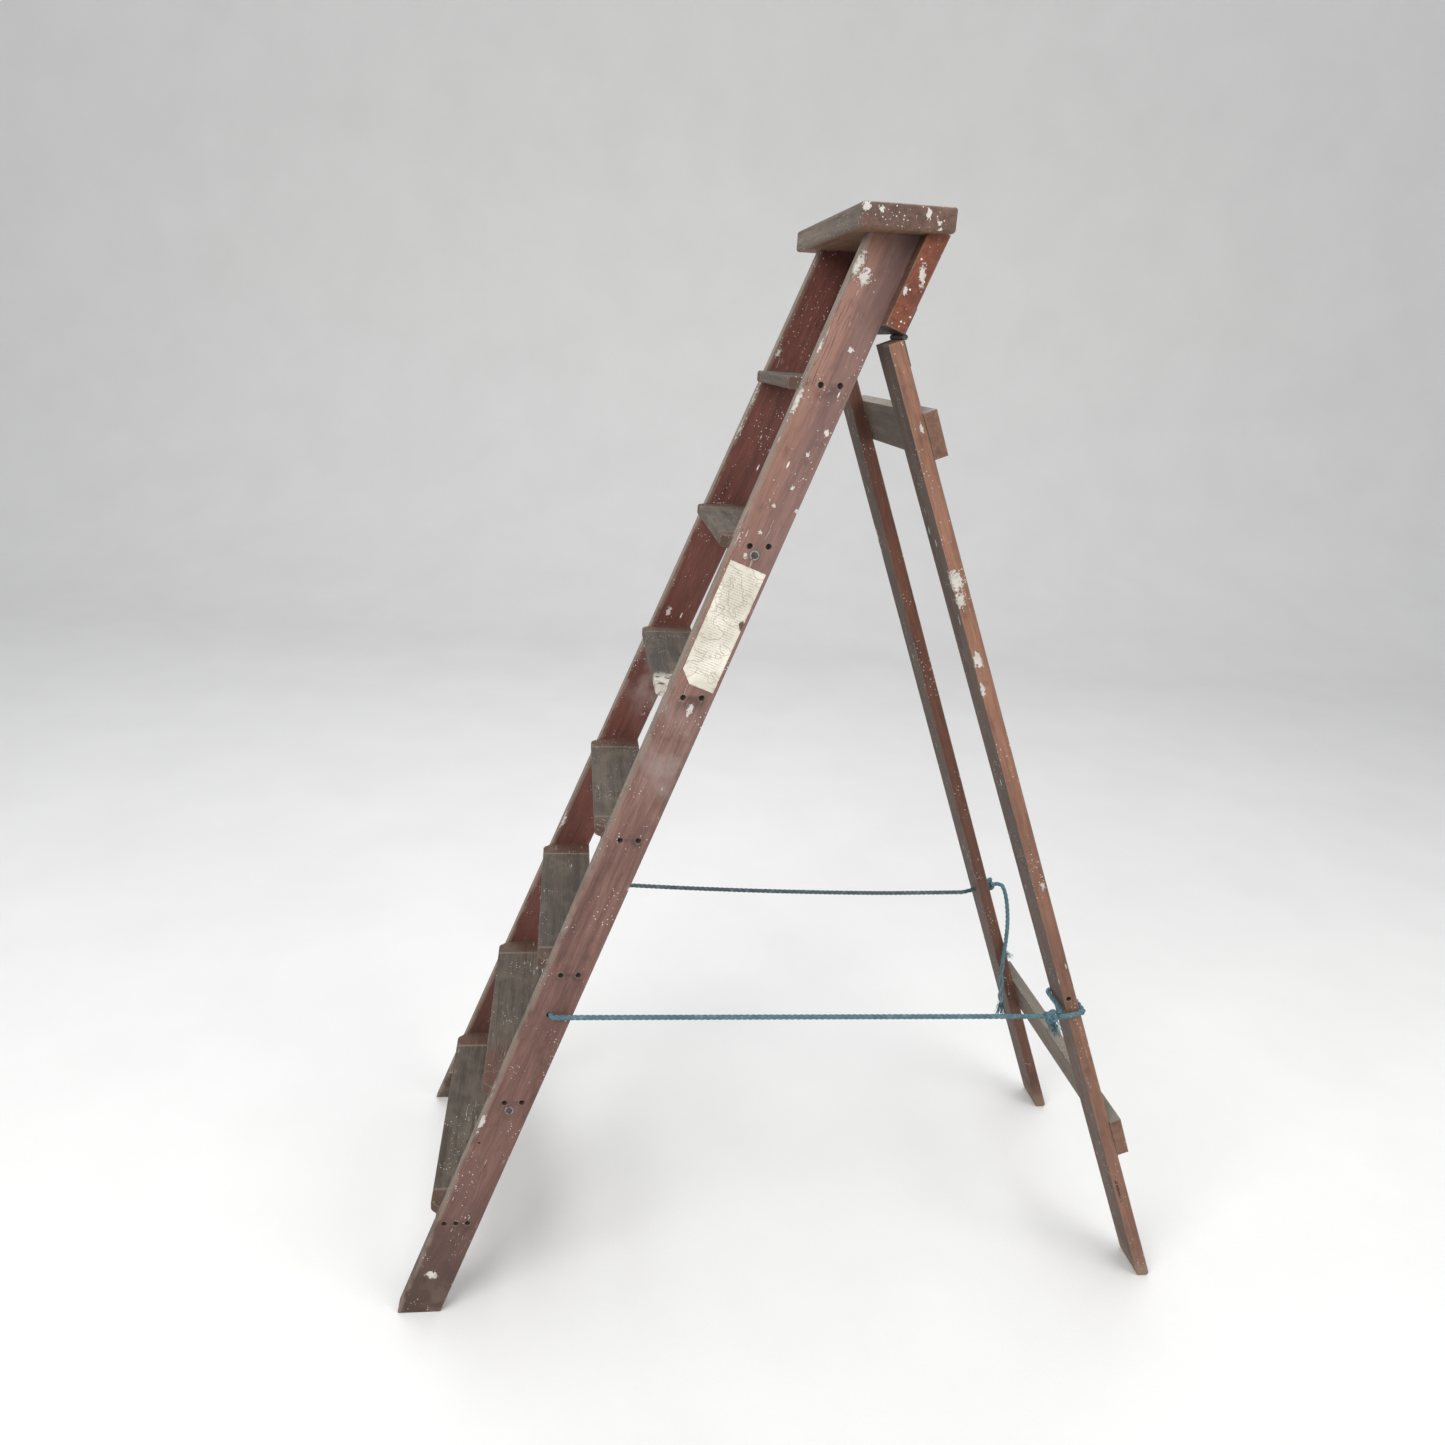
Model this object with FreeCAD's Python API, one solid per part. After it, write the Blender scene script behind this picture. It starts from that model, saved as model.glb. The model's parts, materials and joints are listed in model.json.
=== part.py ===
"""Timber step ladder: seven treads and a platform on two leaning stiles, and a hinged rear frame.

Millimetres. +Z is up, the climbing side faces -Y, and +X is the climber's right-hand side. The origin is
on the floor, midway between the front and the rear feet.
"""

import FreeCAD, Part
import math
import os

Vector = FreeCAD.Vector

# Front frame
STILE_LEAN = math.radians(20.7)
STILE_DEPTH = 68.0
STILE_THICK = 27.0
STILE_HALF_WIDTH = 281.0  # outer face, at the floor
STILE_TAPER = 0.0648  # the outer face comes in this much for each millimetre of height
TREAD_COUNT = 7
TREAD_RISE = 229.0
FIRST_TREAD_TOP = 185.0
TREAD_THICK = 18.0
TREAD_NOSE = 16.5  # ahead of the stile at the tread's top
TREAD_CLIP = 42.0  # the nose's corner is clipped from here, inwards from the stile's outer face
NOSE_ROUND = 4.0
HOUSING_DEPTH = 7.0
PLATFORM_TOP = 1786.0
PLATFORM_THICK = 33.0
PLATFORM_HALF_LENGTH = 219.0
PLATFORM_OVERHANG = 26.0
PLATFORM_ROUND = 5.0
BOARD_THICK = 30.0
BOARD_HEIGHT = 127.0
BOARD_HALF_LENGTH = 198.0

STILE_FOOT_ROUND = 3.0
SPLINTER_HEIGHT = 44.0  # of what has broken off the inside of the left stile's foot
SPLINTER_LEFT = 8.0  # thickness still there at the floor

# Rear frame
LEG_LEAN = math.radians(21.8)
LEG_WIDTH = 66.0
LEG_THICK = 22.0
LEG_HALF_WIDTH = 266.0
LEG_TAPER = 0.0433
LEG_FOOT_ROUND = 6.0
RAIL_THICK = 20.0
RAIL_OVERHANG = 2.0
UPPER_RAIL_HEIGHT = 68.0
UPPER_RAIL_Z = 1489.0
LOWER_RAIL_HEIGHT = 76.0
LOWER_RAIL_Z = 303.0

# Hinges
PIN_RADIUS = 2.5
PIN_CLEARANCE = 0.05
PIN_HEAD_RADIUS = 3.4
PIN_HEAD_LENGTH = 2.2
KNUCKLE_RADIUS = 4.0
KNUCKLE_GAP = 0.4
PIN_OFFSET = 3.4  # from the timber's rear face to the pin's centre
BUTT_GAP = 2.6  # from the pin's centre to the end of each timber
LEAF_THICK = 2.0
LEAF_HEIGHT = 40.0
HINGE_WIDTH = 62.0
HINGE_CENTRE_X = 163.5

# Tie rods, under the second tread from the top and the second from the bottom
ROD_RADIUS = 3.25
ROD_HOLE_RADIUS = 3.5
ROD_DROP = 22.0
ROD_DEPTH = 35.5
ROD_HEAD_RADIUS = 5.0
ROD_HEAD_LENGTH = 2.0
ROD_TREADS = (2, 6)
WASHER_RADIUS = 7.2
WASHER_HOLE_RADIUS = 3.9
WASHER_THICK = 1.6

# Screws
TREAD_SCREW_DEPTHS = (24.0, 50.0)
LOW_TREAD_SCREW_DEPTHS = (13.0, 31.0, 49.0)
TREAD_SCREW_DROP = 9.0
SINK_RADIUS = 4.5
SINK_DEPTH = 6.0
STRAY_HOLE_RADIUS = 2.0

# Ropes, which keep the two frames from spreading
ROPE_RADIUS = 4.0
ROPE_HOLE_RADIUS = 4.8
ROPE_HOLE_Z = 564.5
ROPE_HOLE_DEPTH = 33.0
ROPE_BEND = 8.0
ROPE_END_GAP = 0.3
STOP_KNOT_RADIUS = 11.0
STOP_KNOT_LENGTH = 18.0
LEG_HOLE_DOWN = 1145.5  # down the leg from the hinge pin
LEG_HOLE_X = 209.0
SAG_FROM_HOLE = ((312.0, -18.0), (632.0, -26.5))  # back and up from the left rope's hole in the stile
LEAD_IN = 22.0
NOOSE_KNOT_DOWN = 1133.0
NOOSE_KNOT_AHEAD = 28.0  # from the leg's front face
NOOSE_KNOT_RADIUS = 12.5
NOOSE_KNOT_HALF = 10.5
NOOSE_TILT = math.radians(12.0)
NOOSE_CLEARANCE = 5.5  # from the leg's faces to the rope's centre
NOOSE_BEND = 8.0
TAIL_POINTS = (  # X, and Y and Z from the knot behind the leg
    (-196.0, 27.0, -19.0),
    (-176.0, 31.5, -72.0),
    (-172.0, 32.5, -132.0),
    (-171.5, 32.5, -190.0),
    (-170.0, 42.5, -266.0),
)

# Spare hole in the right leg's outer face
SPARE_HOLE_DOWN = 1112.0
SPARE_HOLE_RADIUS = 4.5
SPARE_HOLE_DEPTH = 30.0

# Paper label on the right stile
LABEL_THICK = 0.4
LABEL_S = (1199.5, 1392.5)
LABEL_D = (6.0, 63.0)
LABEL_CLIP = 18.0

REACH = 900.0  # further than the ladder goes, for cutting tools

sin_a, cos_a, tan_a = math.sin(STILE_LEAN), math.cos(STILE_LEAN), math.tan(STILE_LEAN)
sin_b, cos_b, tan_b = math.sin(LEG_LEAN), math.cos(LEG_LEAN), math.tan(LEG_LEAN)
STILE_TOP = PLATFORM_TOP - PLATFORM_THICK
BOARD_BACK = STILE_DEPTH + BOARD_THICK
BOARD_BOTTOM_S = STILE_TOP / cos_a + STILE_DEPTH * tan_a - BOARD_HEIGHT
PIN_S = BOARD_BOTTOM_S - BUTT_GAP
PIN_D = BOARD_BACK + PIN_OFFSET
PIN_Z = PIN_S * cos_a - PIN_D * sin_a
PIN_AHEAD = PIN_S * sin_a + PIN_D * cos_a  # behind the front foot's edge
REAR_FOOT = PIN_AHEAD + PIN_Z * tan_b - PIN_OFFSET / cos_b
FRONT_Y = -REAR_FOOT / 2
PIN_Y = FRONT_Y + PIN_AHEAD
OUTWARD = Vector(1, 0, STILE_TAPER).normalize()  # off the right stile's outer face
LEG_OUTWARD = Vector(1, 0, LEG_TAPER).normalize()
BACKWARD = Vector(0, cos_a, -sin_a)  # off the hinge board's rear face
LEG_BACK = Vector(0, cos_b, sin_b)  # off the legs' rear faces


def front_y(z, depth=0.0):
    """Y of the plane that lies depth behind the stiles' front edges, at height z."""
    return FRONT_Y + z * tan_a + depth / cos_a


def stile_x(z):
    """X of the right stile's outer face at height z."""
    return STILE_HALF_WIDTH - STILE_TAPER * z


def leg_x(z):
    """X of the right rear leg's outer face at height z."""
    return LEG_HALF_WIDTH - LEG_TAPER * z


def on_stile(s, d):
    """Y and Z of the point s up the front edge's line and d behind it."""
    return FRONT_Y + s * sin_a + d * cos_a, s * cos_a - d * sin_a


def on_leg(down, back):
    """Y and Z of the point this far down a leg from the hinge pin, and this far back from the pin."""
    return PIN_Y + down * sin_b + back * cos_b, PIN_Z - down * cos_b + back * sin_b


def polygon_face(points):
    return Part.Face(Part.makePolygon(points + [points[0]]))


def along_x(yz_points, x0=-REACH, x1=REACH):
    """An outline in the YZ plane, carried along X."""
    face = polygon_face([Vector(x0, y, z) for y, z in yz_points])
    return face.extrude(Vector(x1 - x0, 0, 0))


def slab(half_width, taper, thick, z0=-50.0, z1=PLATFORM_TOP + 50.0):
    """The upright layer between a leaning side face and the plane that lies thick inside it."""
    points = [
        Vector(half_width - taper * z0, -REACH, z0),
        Vector(half_width - taper * z1, -REACH, z1),
        Vector(half_width - taper * z1 - thick, -REACH, z1),
        Vector(half_width - taper * z0 - thick, -REACH, z0),
    ]
    return polygon_face(points).extrude(Vector(0, 2 * REACH, 0))


def mirrored(shape):
    return shape.mirror(Vector(0, 0, 0), Vector(1, 0, 0))


def rod_between(start, end, radius):
    return Part.makeCylinder(radius, (end - start).Length, start, end - start)


def group(shapes):
    return Part.makeCompound(shapes)


def save(name, shape):
    shape.exportStep(f"parts/{name}.step")
    print(f"{name}: {len(shape.Solids)} solid, {shape.Volume / 1000:.1f} cm3, valid {shape.isValid()}")


# Screws


def screw(seat, inward, head_radius, head_length, shank_radius, length):
    """A slotted screw. Its head's top is at seat, and it points inward."""
    inward = Vector(inward).normalize()
    head = Part.makeCone(head_radius, shank_radius, head_length, seat, inward)
    shank = Part.makeCylinder(shank_radius, length, seat, inward)
    body = head.fuse(shank).removeSplitter()
    slot = Part.makeBox(head_radius * 3, head_radius / 3, head_length / 2)
    slot.translate(Vector(-head_radius * 1.5, -head_radius / 6, -head_length / 4))
    slot.Placement = FreeCAD.Placement(seat, FreeCAD.Rotation(Vector(0, 0, 1), inward)).multiply(
        slot.Placement
    )
    return body.cut(slot)


def screw_hole(seat, inward, head_radius, head_length, shank_radius, length, sink=0.0):
    """The space that a screw fills, with a counterbore of depth sink above its head."""
    inward = Vector(inward).normalize()
    space = Part.makeCone(head_radius, shank_radius, head_length, seat, inward)
    space = space.fuse(Part.makeCylinder(shank_radius, length, seat, inward))
    if sink:
        space = space.fuse(Part.makeCylinder(SINK_RADIUS, sink + 1, seat - inward * (sink + 1), inward))
    return space


TREAD_SCREW = (4.0, 3.0, 2.2, 36.0)
FRAME_SCREW = (5.0, 4.0, 2.5, 58.0)
RAIL_SCREW = (4.5, 3.5, 2.3, 38.0)
HINGE_SCREW = (3.4, 2.6, 1.9, 17.0)


def tread_top(number):
    """Treads are numbered from the bottom."""
    return FIRST_TREAD_TOP + (number - 1) * TREAD_RISE


def tread_screw_seats():
    """Seats of the right-hand screws that hold the tread ends, at the bottoms of their counterbores."""
    seats = []
    for number in range(1, TREAD_COUNT + 1):
        depths = LOW_TREAD_SCREW_DEPTHS if number == 1 else TREAD_SCREW_DEPTHS
        z = tread_top(number) - TREAD_SCREW_DROP
        for depth in depths:
            seats.append(Vector(stile_x(z), front_y(z, depth), z) - OUTWARD * SINK_DEPTH)
    return seats


def board_screw_seats():
    """Seats of the screws through the hinge board into the rear edge of the right stile."""
    seats = []
    for up in (50.0, 76.0):
        y, z = on_stile(BOARD_BOTTOM_S + up, BOARD_BACK)
        seats.append(Vector(stile_x(z) - STILE_THICK / 2, y, z))
    return seats


def platform_screw_seats():
    """Seats of the screws down through the platform: two in each stile and three in the hinge board."""
    side = stile_x(STILE_TOP) - STILE_THICK / 2
    seats = [Vector(x, front_y(STILE_TOP, depth), PLATFORM_TOP) for x in (-side, side) for depth in (18, 42)]
    middle = STILE_DEPTH + BOARD_THICK / 2 - 3
    return seats + [Vector(x, front_y(STILE_TOP, middle), PLATFORM_TOP) for x in (-110, 0, 110)]


def rail_screw_seats():
    """Seats of the right-hand screws through the two cross rails into the leg."""
    seats = []
    for z, height in ((UPPER_RAIL_Z, UPPER_RAIL_HEIGHT), (LOWER_RAIL_Z, LOWER_RAIL_HEIGHT)):
        down = (PIN_Z - z) / cos_b
        for side, along in ((-1, -0.26), (1, 0.26)):
            y, leg_z = on_leg(down + along * height, RAIL_THICK - PIN_OFFSET)
            seats.append(Vector(leg_x(leg_z) - LEG_WIDTH / 2 + side * 14, y, leg_z))
    return seats


def hinge_screw_offsets():
    """Places of a leaf's three screws: across it, and away from the pin."""
    return ((-20.0, 15.0), (20.0, 15.0), (0.0, 31.0))


# Front frame


def rope_hole():
    return rod_between(rope_mouth() - OUTWARD * 40, rope_mouth() + OUTWARD * 10, ROPE_HOLE_RADIUS)


def rounded_foot(board, radius):
    """The board with its two lowest crosswise edges worn round."""
    edges = [edge for edge in board.Edges if edge.BoundBox.ZMax < 0.01 and edge.BoundBox.XLength > edge.BoundBox.YLength]
    return board.makeFillet(radius, edges)


def splinter():
    """What has broken off the inside of the left stile's foot."""
    inner = stile_x(0) - STILE_THICK - 5
    outer = stile_x(0) - SPLINTER_LEFT
    face = polygon_face(
        [Vector(-inner, -REACH, -1), Vector(-outer, -REACH, -1), Vector(-inner, -REACH, SPLINTER_HEIGHT)]
    )
    return face.extrude(Vector(0, 2 * REACH, 0))


def stile():
    """The right stile, housed for the treads and bored for the rod, the screws and the rope."""
    board = along_x(
        [
            (front_y(0), 0),
            (front_y(0, STILE_DEPTH), 0),
            (front_y(STILE_TOP, STILE_DEPTH), STILE_TOP),
            (front_y(STILE_TOP), STILE_TOP),
        ]
    ).common(slab(STILE_HALF_WIDTH, STILE_TAPER, STILE_THICK))
    board = rounded_foot(board, STILE_FOOT_ROUND)
    tools = [tread(number) for number in range(1, TREAD_COUNT + 1)]
    tools += [rod_space(number) for number in ROD_TREADS]
    tools += [screw_hole(seat, -OUTWARD, *TREAD_SCREW, sink=SINK_DEPTH) for seat in tread_screw_seats()]
    tools += [screw_hole(seat, -BACKWARD, *FRAME_SCREW) for seat in board_screw_seats()]
    tools += [screw_hole(seat, Vector(0, 0, -1), *FRAME_SCREW) for seat in platform_screw_seats()]
    tools.append(rope_hole())
    return board.cut(tools)


def stray_hole():
    """A small nail hole in the right stile's outer face, above the lowest tread."""
    z = FIRST_TREAD_TOP + 146
    mouth = Vector(stile_x(z), front_y(z, 12), z)
    return rod_between(mouth + OUTWARD, mouth - OUTWARD * SINK_DEPTH, STRAY_HOLE_RADIUS)


def tread(number):
    """A tread: nosed at the front, clipped at the front corners, and housed in both stiles."""
    top = tread_top(number)
    bottom = top - TREAD_THICK
    nose = front_y(top) - TREAD_NOSE
    board = along_x(
        [
            (nose, bottom),
            (front_y(bottom, STILE_DEPTH), bottom),
            (front_y(top, STILE_DEPTH), top),
            (nose, top),
        ]
    )
    inner = STILE_HALF_WIDTH - STILE_THICK
    board = board.common(slab(inner + HOUSING_DEPTH, STILE_TAPER, 2 * (inner + HOUSING_DEPTH)))
    board = board.common(mirrored(board))
    ahead = along_x(
        [
            (nose - 5, bottom - 1),
            (front_y(bottom - 1), bottom - 1),
            (front_y(top + 1), top + 1),
            (nose - 5, top + 1),
        ]
    )
    end = ahead.common(slab(inner + 50, STILE_TAPER, 50))
    inner_x = stile_x(top) - STILE_THICK
    corner = polygon_face(
        [
            Vector(stile_x(top) - TREAD_CLIP, nose - 1, bottom - 1),
            Vector(inner_x + 5, nose - 1, bottom - 1),
            Vector(inner_x + 5, front_y(top) + 5, bottom - 1),
            Vector(inner_x, front_y(top), bottom - 1),
        ]
    )
    corner = corner.extrude(Vector(0, 0, TREAD_THICK + 2)).common(ahead)
    board = board.cut([end, mirrored(end), corner, mirrored(corner)])
    front_edges = [
        edge
        for edge in board.Edges
        if edge.BoundBox.YMax < nose + 0.01 and edge.BoundBox.XLength > 100
    ]
    return board.makeFillet(NOSE_ROUND, front_edges)


def tread_part(number):
    """A tread with the holes for the screws in its ends."""
    low, high = tread_top(number) - TREAD_THICK, tread_top(number)
    seats = [seat for seat in tread_screw_seats() if low < seat.z < high]
    holes = [screw_hole(seat, -OUTWARD, *TREAD_SCREW) for seat in seats]
    return tread(number).cut(holes + [mirrored(hole) for hole in holes])


def platform():
    """The top step, rounded all round, flat on the stiles and the hinge board."""
    front = front_y(STILE_TOP) - PLATFORM_OVERHANG
    back = front_y(STILE_TOP, BOARD_BACK)
    board = Part.makeBox(
        2 * PLATFORM_HALF_LENGTH,
        back - front,
        PLATFORM_THICK,
        Vector(-PLATFORM_HALF_LENGTH, front, STILE_TOP),
    )
    board = board.makeFillet(PLATFORM_ROUND, board.Edges)
    return board.cut([screw_hole(seat, Vector(0, 0, -1), *FRAME_SCREW) for seat in platform_screw_seats()])


def hinge_board():
    """The board behind the tops of the stiles that the rear frame hangs from."""
    board = along_x(
        [
            on_stile(BOARD_BOTTOM_S, STILE_DEPTH),
            on_stile(BOARD_BOTTOM_S, BOARD_BACK),
            (front_y(STILE_TOP, BOARD_BACK), STILE_TOP),
            (front_y(STILE_TOP, STILE_DEPTH), STILE_TOP),
        ],
        -BOARD_HALF_LENGTH,
        BOARD_HALF_LENGTH,
    )
    tools = [screw_hole(seat, -BACKWARD, *FRAME_SCREW) for seat in board_screw_seats()]
    tools += [screw_hole(seat, -BACKWARD, *HINGE_SCREW) for seat in fixed_screw_seats()]
    tools += [mirrored(tool) for tool in tools]
    tools += [screw_hole(seat, Vector(0, 0, -1), *FRAME_SCREW) for seat in platform_screw_seats()]
    return board.cut(tools)


def rod_centre(number):
    z = tread_top(number) - ROD_DROP
    return Vector(stile_x(z), front_y(z, ROD_DEPTH), z)


def rod_space(number):
    centre = rod_centre(number)
    return rod_between(Vector(0, centre.y, centre.z), centre + Vector(20, 0, 0), ROD_HOLE_RADIUS)


def tie_rod(number):
    """A steel rod from stile to stile, its ends riveted over on washers."""
    centre = rod_centre(number)
    half = rod_between(Vector(0, centre.y, centre.z), centre + Vector(WASHER_THICK, 0, 0), ROD_RADIUS)
    seat = centre + OUTWARD * WASHER_THICK
    head = Part.makeCylinder(ROD_HEAD_RADIUS, ROD_HEAD_LENGTH, seat, OUTWARD)
    head = head.makeFillet(ROD_HEAD_LENGTH * 0.7, [head.Edges[0]])
    half = half.fuse(head)
    return half.fuse(mirrored(half)).removeSplitter()


def washer(number):
    seat = rod_centre(number)
    ring = Part.makeCylinder(WASHER_RADIUS, WASHER_THICK, seat, OUTWARD)
    return ring.cut(Part.makeCylinder(WASHER_HOLE_RADIUS, WASHER_THICK, seat, OUTWARD))


def paper_label():
    """A paper label on the right stile's outer face, with its lower front corner torn off."""
    low, high = LABEL_S
    near, far = LABEL_D
    outline = [(low, near + LABEL_CLIP), (low, far), (high, far), (high, near), (low + LABEL_CLIP, near)]
    points = []
    for s, d in outline:
        y, z = on_stile(s, d)
        points.append(Vector(stile_x(z), y, z))
    return polygon_face(points).extrude(OUTWARD * LABEL_THICK)


# Hinges, one at each side


def knuckle_spans():
    """The three knuckles of a hinge along X. The fixed leaf has the outer two."""
    left = HINGE_CENTRE_X - HINGE_WIDTH / 2
    third = HINGE_WIDTH / 3
    spans = [(left + i * third, left + (i + 1) * third) for i in range(3)]
    return [(a + (KNUCKLE_GAP if i else 0), b - (KNUCKLE_GAP if i < 2 else 0)) for i, (a, b) in enumerate(spans)]


def leaf(corner, spans, bore):
    """A leaf against a timber's rear face, and the knuckles that join it. corner gives Y and Z from the
    distance away from the pin and the distance back from the timber."""
    left = HINGE_CENTRE_X - HINGE_WIDTH / 2
    right = left + HINGE_WIDTH
    plate = along_x(
        [corner(BUTT_GAP, 0), corner(BUTT_GAP, LEAF_THICK), corner(LEAF_HEIGHT, LEAF_THICK), corner(LEAF_HEIGHT, 0)],
        left,
        right,
    )
    pin_start = Vector(left, PIN_Y, PIN_Z)
    room = Part.makeCylinder(KNUCKLE_RADIUS + KNUCKLE_GAP, HINGE_WIDTH, pin_start, Vector(1, 0, 0))
    shape = plate.cut(room)
    for x0, x1 in spans:
        web = along_x(
            [corner(0, 0.4), corner(0, LEAF_THICK), corner(8, LEAF_THICK), corner(8, 0), corner(BUTT_GAP, 0)], x0, x1
        )
        barrel = Part.makeCylinder(KNUCKLE_RADIUS, x1 - x0, Vector(x0, PIN_Y, PIN_Z), Vector(1, 0, 0))
        shape = shape.fuse([web, barrel])
    hole = Part.makeCylinder(bore, HINGE_WIDTH + 2, Vector(left - 1, PIN_Y, PIN_Z), Vector(1, 0, 0))
    return shape.cut(hole).removeSplitter()


def fixed_corner(away, back):
    return on_stile(PIN_S + away, BOARD_BACK + back)


def moving_corner(away, back):
    return on_leg(away, back - PIN_OFFSET)


def hinge_seats(corner):
    seats = []
    for across, away in hinge_screw_offsets():
        y, z = corner(away, LEAF_THICK)
        seats.append(Vector(HINGE_CENTRE_X + across, y, z))
    return seats


def fixed_screw_seats():
    return hinge_seats(fixed_corner)


def moving_screw_seats():
    return hinge_seats(moving_corner)


def fixed_leaf():
    spans = knuckle_spans()
    shape = leaf(fixed_corner, [spans[0], spans[2]], PIN_RADIUS)
    return shape.cut([screw_hole(seat, -BACKWARD, *HINGE_SCREW) for seat in fixed_screw_seats()])


def moving_leaf():
    shape = leaf(moving_corner, [knuckle_spans()[1]], PIN_RADIUS + PIN_CLEARANCE)
    return shape.cut([screw_hole(seat, -LEG_BACK, *HINGE_SCREW) for seat in moving_screw_seats()])


def hinge_pin():
    left = HINGE_CENTRE_X - HINGE_WIDTH / 2
    axis = Vector(1, 0, 0)
    pin = Part.makeCylinder(PIN_RADIUS, HINGE_WIDTH, Vector(left, PIN_Y, PIN_Z), axis)
    for start in (left - PIN_HEAD_LENGTH, left + HINGE_WIDTH):
        head = Part.makeCylinder(PIN_HEAD_RADIUS, PIN_HEAD_LENGTH, Vector(start, PIN_Y, PIN_Z), axis)
        pin = pin.fuse(head)
    return pin.removeSplitter()


# Rear frame


def rear_leg(side):
    """A rear leg. The left one is bored through for its rope, the right one has an old blind hole."""
    board = along_x(
        [
            on_leg(BUTT_GAP, -PIN_OFFSET),
            on_leg(BUTT_GAP, -PIN_OFFSET - LEG_THICK),
            (PIN_Y + PIN_Z * tan_b - (PIN_OFFSET + LEG_THICK) / cos_b, 0),
            (PIN_Y + PIN_Z * tan_b - PIN_OFFSET / cos_b, 0),
        ]
    ).common(slab(LEG_HALF_WIDTH, LEG_TAPER, LEG_WIDTH))
    board = rounded_foot(board, LEG_FOOT_ROUND)
    tools = [screw_hole(seat, -LEG_BACK, *RAIL_SCREW) for seat in rail_screw_seats()]
    tools += [screw_hole(seat, -LEG_BACK, *HINGE_SCREW) for seat in moving_screw_seats()]
    board = board.cut(tools)
    if side < 0:
        return mirrored(board).cut(rod_between(leg_hole(-60), leg_hole(20), ROPE_HOLE_RADIUS))
    y, z = on_leg(SPARE_HOLE_DOWN, -PIN_OFFSET - LEG_THICK + 9)
    mouth = Vector(leg_x(z), y, z)
    return board.cut(rod_between(mouth + LEG_OUTWARD * 5, mouth - LEG_OUTWARD * SPARE_HOLE_DEPTH, SPARE_HOLE_RADIUS))


def cross_rail(z, height):
    """A rail across the rear faces of both legs."""
    down = (PIN_Z - z) / cos_b
    half = leg_x(z) + RAIL_OVERHANG
    board = along_x(
        [
            on_leg(down - height / 2, -PIN_OFFSET),
            on_leg(down - height / 2, RAIL_THICK - PIN_OFFSET),
            on_leg(down + height / 2, RAIL_THICK - PIN_OFFSET),
            on_leg(down + height / 2, -PIN_OFFSET),
        ],
        -half,
        half,
    )
    holes = [screw_hole(seat, -LEG_BACK, *RAIL_SCREW) for seat in rail_screw_seats()]
    return board.cut(holes + [mirrored(hole) for hole in holes])


# Ropes


def rope_mouth():
    """Centre of the rope's hole in the right stile's outer face."""
    return Vector(stile_x(ROPE_HOLE_Z), front_y(ROPE_HOLE_Z, ROPE_HOLE_DEPTH), ROPE_HOLE_Z)


def across(point):
    """The same point on the ladder's other side."""
    return Vector(-point.x, point.y, point.z)


def leg_hole(back):
    """A point on the axis of the left leg's rope hole."""
    return Vector(-LEG_HOLE_X, *on_leg(LEG_HOLE_DOWN, back))


def rope(points, bends):
    """A round tube along straight runs, joined at each inner point by an arc of the given radius."""
    edges = []
    here = points[0]
    for i, bend in enumerate(bends):
        corner = points[i + 1]
        before = (corner - points[i]).normalize()
        after = (points[i + 2] - corner).normalize()
        turn = before.getAngle(after)
        start = corner - before * bend * math.tan(turn / 2)
        end = corner + after * bend * math.tan(turn / 2)
        inside = (after - before).normalize()
        middle = corner + inside * bend * (1 / math.cos(turn / 2) - 1)
        edges.append(Part.LineSegment(here, start).toShape())
        edges.append(Part.Arc(start, middle, end).toShape())
        here = end
        print(f"  bend of {math.degrees(turn):.1f} degrees, radius {bend:.0f}")
    edges.append(Part.LineSegment(here, points[-1]).toShape())
    path = Part.Wire(edges)
    section = Part.Wire(Part.makeCircle(ROPE_RADIUS, points[0], points[1] - points[0]))
    tube = path.makePipeShell([section], True, False)
    ratio = tube.Volume / (math.pi * ROPE_RADIUS**2 * path.Length)
    print(f"  rope {path.Length:.0f} mm long, volume {ratio:.4f} of section times length")
    return tube


def widest_bends(points):
    """For each inner point, the radius whose arc takes 0.45 of the shorter run beside it."""
    bends = []
    for a, b, c in zip(points, points[1:], points[2:]):
        turn = (b - a).getAngle(c - b)
        bends.append(0.45 * min((b - a).Length, (c - b).Length) / math.tan(turn / 2))
    return bends


def stop_knot(face, outward):
    """A stopper knot drawn up against a face."""
    barrel = Part.makeCylinder(STOP_KNOT_RADIUS, STOP_KNOT_LENGTH, face, outward)
    rims = [edge for edge in barrel.Edges if edge.Closed]
    return barrel.makeFillet(STOP_KNOT_RADIUS * 0.35, rims)


def right_rope_points():
    """From the inner face of the right stile, through it, round its outer face and back to the noose."""
    mouth = rope_mouth()
    start = mouth - OUTWARD * (STILE_THICK * OUTWARD.x)
    knot = noose_knot_centre()
    corner = mouth + OUTWARD * ROPE_BEND
    ahead = (knot - corner).normalize()
    return [start, corner, knot - ahead * (NOOSE_KNOT_HALF + ROPE_END_GAP)]


def noose_knot_centre():
    y, z = on_leg(NOOSE_KNOT_DOWN, -PIN_OFFSET - LEG_THICK - NOOSE_KNOT_AHEAD)
    return Vector(leg_x(z) - 1, y, z)


def noose_direction():
    return Vector(0, math.cos(NOOSE_TILT), math.sin(NOOSE_TILT))


def noose_knot():
    """The knot of the noose: round, with a flat for the long rope and one for the loop."""
    centre = noose_knot_centre()
    corner = rope_mouth() + OUTWARD * ROPE_BEND
    ball = Part.makeSphere(NOOSE_KNOT_RADIUS, centre)
    for direction in ((corner - centre).normalize(), noose_direction()):
        ball = ball.cut(rod_between(centre + direction * NOOSE_KNOT_HALF, centre + direction * 30, 20))
    return ball


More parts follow.
